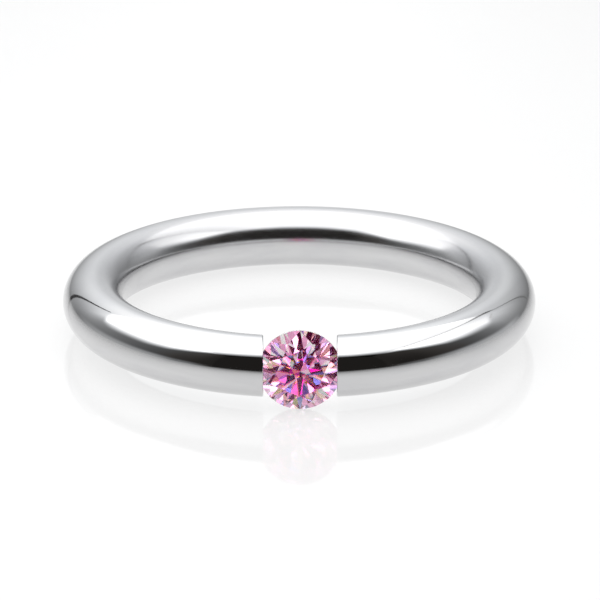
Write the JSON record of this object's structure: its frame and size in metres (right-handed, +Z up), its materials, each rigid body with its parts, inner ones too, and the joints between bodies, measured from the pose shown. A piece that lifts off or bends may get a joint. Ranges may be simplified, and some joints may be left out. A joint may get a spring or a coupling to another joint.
{
  "type": "tension set ring",
  "caption": "Ring of round polished steel wire, open at the front, with a pink round brilliant held under tension between its flat ends.",
  "frame": {"origin": "on the surface that the ring lies on, below the centre of the ring", "axes": "+Z up from that surface, +Y from the stone to the back of the ring, +X to the right as seen from the stone's table"},
  "size_m": [0.0236, 0.0234, 0.004],
  "materials": {
    "steel": "polished",
    "gem": "polished"
  },
  "bodies": {
    "root": {"band": "steel", "stone": "gem"}
  },
  "joints": []
}
